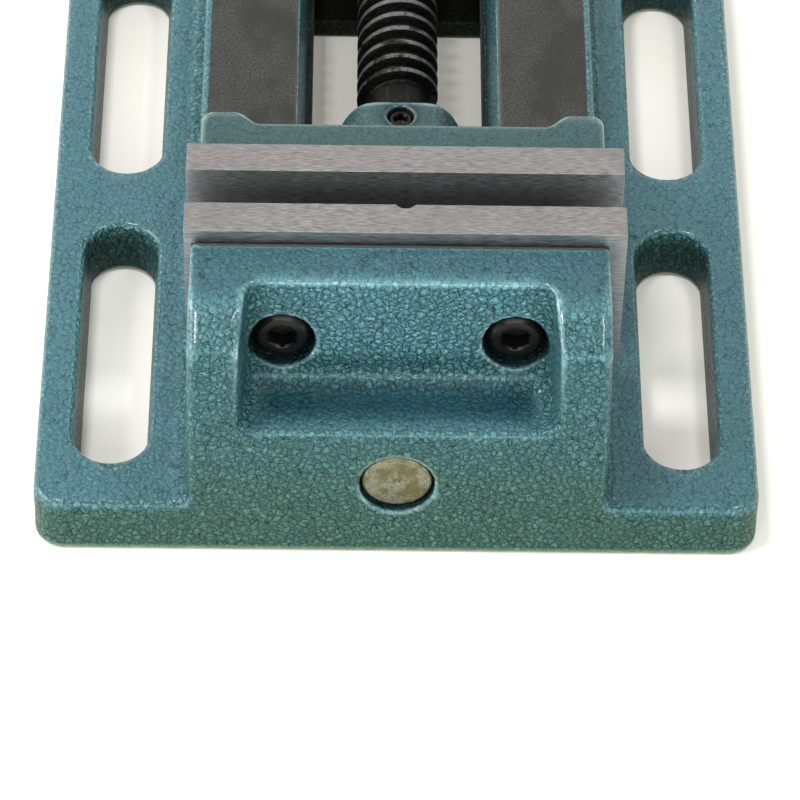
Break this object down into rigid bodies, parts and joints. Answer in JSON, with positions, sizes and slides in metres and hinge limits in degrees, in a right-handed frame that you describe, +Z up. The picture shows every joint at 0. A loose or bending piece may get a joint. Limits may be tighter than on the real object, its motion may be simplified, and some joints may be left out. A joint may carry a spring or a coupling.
{
  "type": "machine vise",
  "caption": "Screw-driven drill-press vise: slotted base with fixed jaw, sliding jaw on ground ways, steel jaw plates, lead screw with sliding tommy bar.",
  "frame": {"origin": "bottom centre of the whole vise's bounding box, on the surface that the base stands on", "axes": "+X across the jaws to the right seen from the fixed jaw's end, +Y from the fixed jaw to the handle, +Z up"},
  "size_m": [0.167, 0.243, 0.0696],
  "materials": {
    "hammer_paint": "glossy teal hammered paint on cast iron",
    "ground_steel": "surface ground, fine lengthwise grain",
    "black_oxide": "black oxide, lightly oiled",
    "yellow_zinc": "turned, yellow zinc plated",
    "bright_steel": "turned bright steel",
    "brass": "turned, dull"
  },
  "bodies": {
    "base": {"base_casting": "hammer_paint", "fixed_jaw_plate": "ground_steel", "fixed_plate_screw_left": "black_oxide", "fixed_plate_screw_right": "black_oxide", "front_bore_plug": "yellow_zinc", "leadscrew_nut": "brass", "nut_lock_screw": "black_oxide"},
    "movable_jaw": {"movable_jaw_casting": "hammer_paint", "movable_jaw_plate": "ground_steel", "movable_plate_screw_left": "black_oxide", "movable_plate_screw_right": "black_oxide", "keeper_plate": "bright_steel", "keeper_screw_front": "black_oxide", "keeper_screw_rear": "black_oxide", "boss_set_screw": "black_oxide"},
    "screw": {"leadscrew": "black_oxide", "handle_hub": "black_oxide", "hub_pin": "bright_steel"},
    "bar": {"tommy_bar": "bright_steel", "bar_knob_left": "black_oxide", "bar_knob_right": "black_oxide"}
  },
  "joints": [
    {"name": "jaw_slide", "type": "slide", "parent": "base", "child": "movable_jaw", "axis": [0, 1, 0], "range_m": [-0.01, 0.07]},
    {"name": "screw_turn", "type": "hinge", "parent": "movable_jaw", "child": "screw", "pos_m": [0, 0.0285, 0.021], "axis": [0, 1, 0], "range_deg": [-720.5, 5040.5]},
    {"name": "bar_slide", "type": "slide", "parent": "screw", "child": "bar", "axis": [1, 0, 0], "range_m": [-0.032, 0.032]}
  ],
  "couplings": [
    {"joint": "screw_turn", "follows": "jaw_slide", "rad_per_m": 1256.6}
  ]
}
